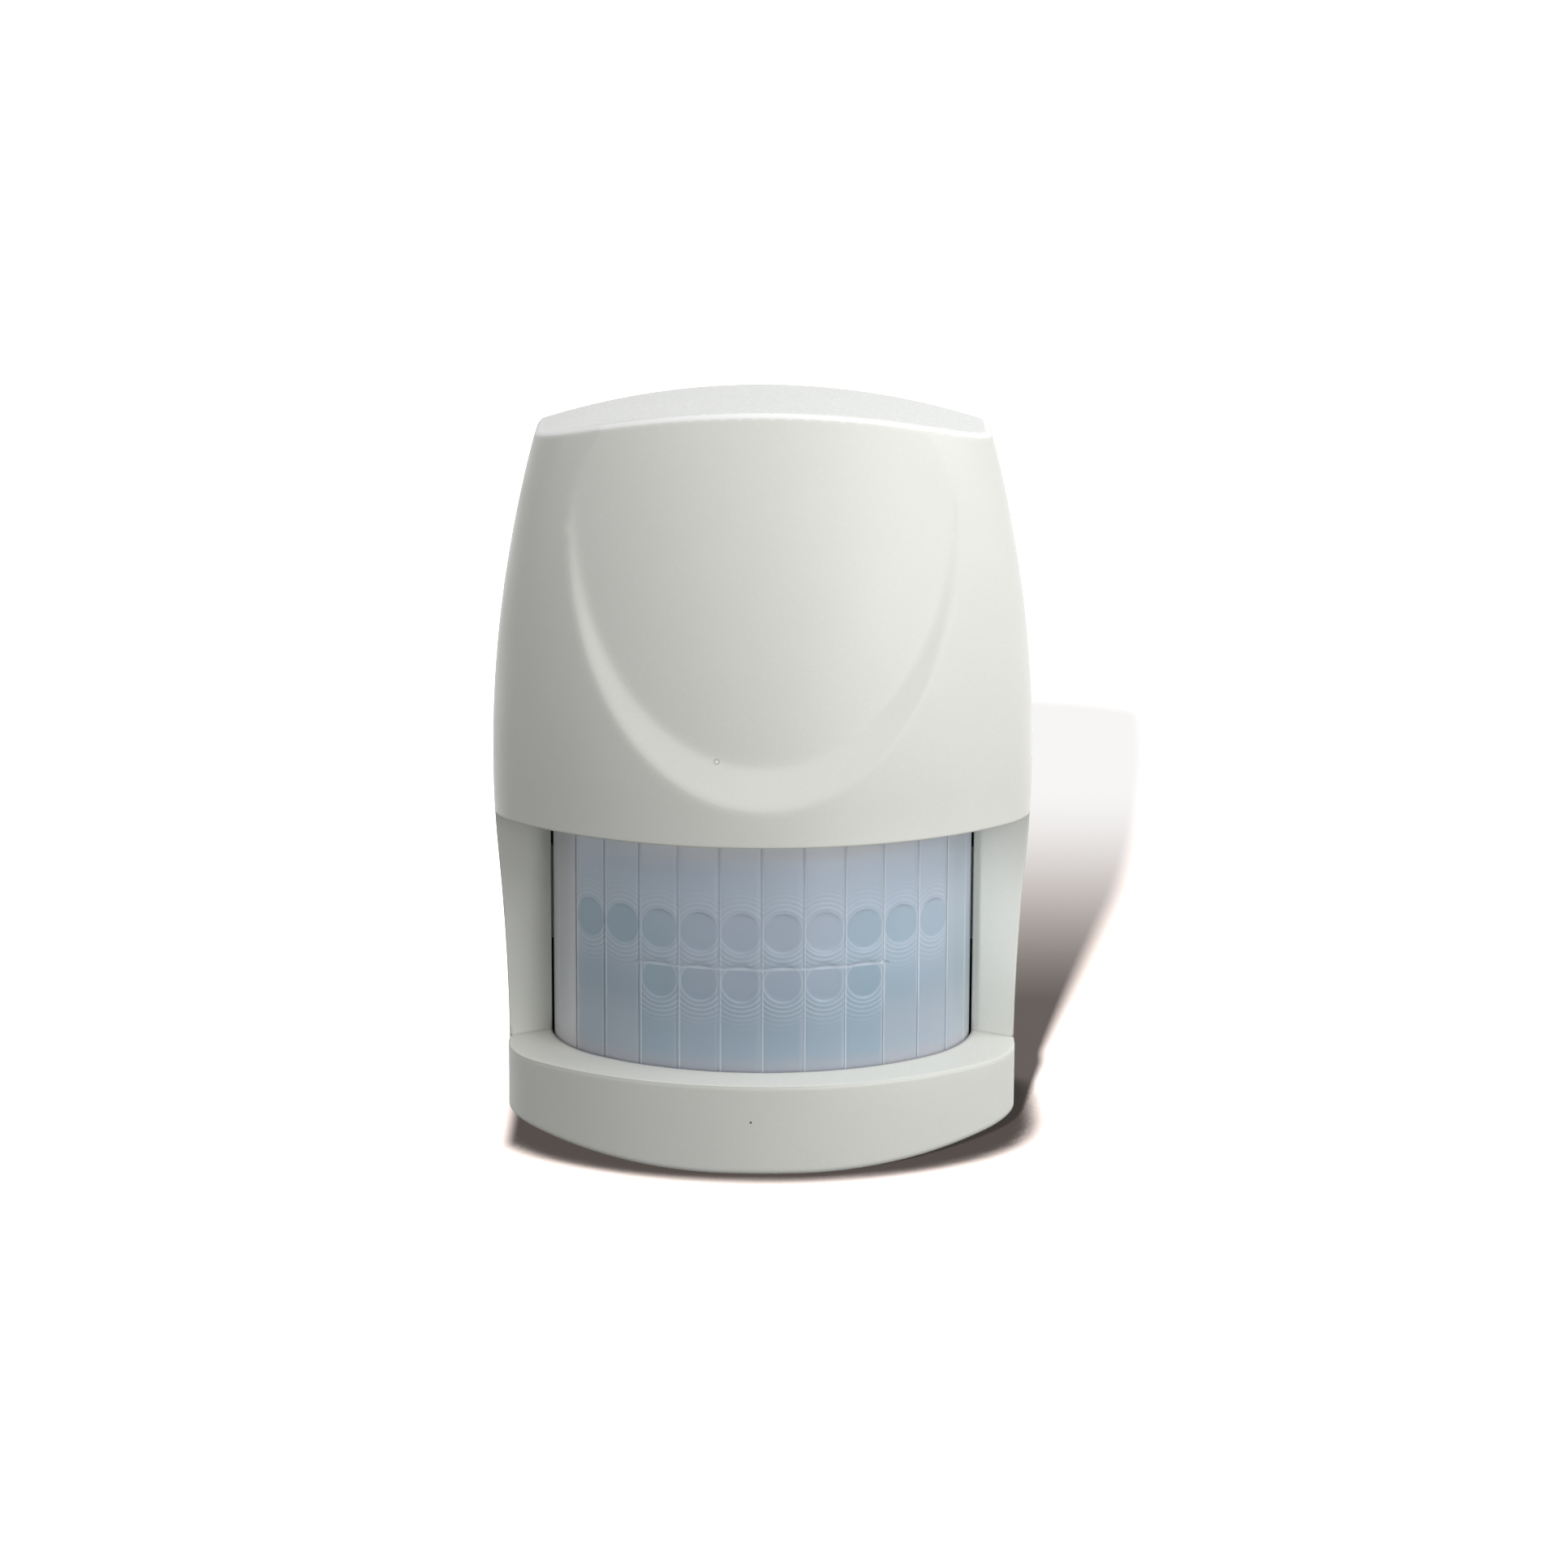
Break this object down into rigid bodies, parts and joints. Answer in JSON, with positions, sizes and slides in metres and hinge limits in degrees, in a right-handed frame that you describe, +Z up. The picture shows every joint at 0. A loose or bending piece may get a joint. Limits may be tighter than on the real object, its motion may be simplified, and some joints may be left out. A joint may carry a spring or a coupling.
{
  "type": "motion detector",
  "caption": "Wall-mounted infrared motion detector: a bulged off-white housing with a U-shaped scoop in its hood and a milky curved segmented lens in a recessed window band.",
  "frame": {"origin": "middle of the footprint in X and Y, tamper plunger included, at the height of the flat sole", "axes": "+Z up, front (lens side) towards -Y, wall side towards +Y, symmetric about the YZ plane apart from small inner parts"},
  "size_m": [0.067, 0.0428, 0.0914],
  "materials": {
    "cover_plastic": "finely frosted off-white moulding",
    "lens_plastic": "milky blue-grey translucent sheet with a soft sheen",
    "inner_plastic": "smooth white moulding",
    "dark_plastic": "dull black moulding",
    "board_laminate": "green lacquered laminate",
    "steel": "bright drawn steel",
    "spring_metal": "plated strip",
    "antenna_metal": "thin bare strip",
    "capacitor_can": "satin can",
    "sensor_glass": "dark filter pane",
    "led_resin": "tinted clear resin",
    "jumper_plastic": "blue moulding",
    "cell_sleeve": "plain dark grey sleeve"
  },
  "bodies": {
    "housing": {"front_cover": "cover_plastic", "rear_cover": "cover_plastic", "fresnel_lens": "lens_plastic", "lens_frame": "inner_plastic", "case_screw": "steel", "circuit_board": "board_laminate", "board_screws": "steel", "sensor_spacer": "inner_plastic", "pir_sensor_base": "steel", "pir_sensor_can": "steel", "pir_sensor_window": "sensor_glass", "status_led": "led_resin", "control_chip": "dark_plastic", "amplifier_chip": "dark_plastic", "crystal": "steel", "radio_board": "board_laminate", "radio_shield": "steel", "jumper_header": "dark_plastic", "jumper_cap": "jumper_plastic", "supply_capacitors": "capacitor_can", "antenna_strip": "antenna_metal", "tamper_switch": "dark_plastic", "learn_switch": "dark_plastic", "battery_holder": "dark_plastic", "cell_bottom": "cell_sleeve", "cell_middle": "cell_sleeve", "cell_top": "cell_sleeve", "plate_contacts": "spring_metal", "spring_contacts": "spring_metal"},
    "tamper_plunger_body": {"tamper_plunger": "inner_plastic"},
    "learn_button_body": {"learn_button": "inner_plastic"}
  },
  "joints": [
    {"name": "tamper_plunger_slide", "type": "slide", "parent": "housing", "child": "tamper_plunger_body", "axis": [0, -1, 0], "range_m": [0, 0.0012], "stiffness_N_per_m": 300, "springref_m": -0.001},
    {"name": "learn_button_slide", "type": "slide", "parent": "housing", "child": "learn_button_body", "axis": [0, 1, 0], "range_m": [0, 0.0005], "stiffness_N_per_m": 2000, "springref_m": -0.0002}
  ]
}
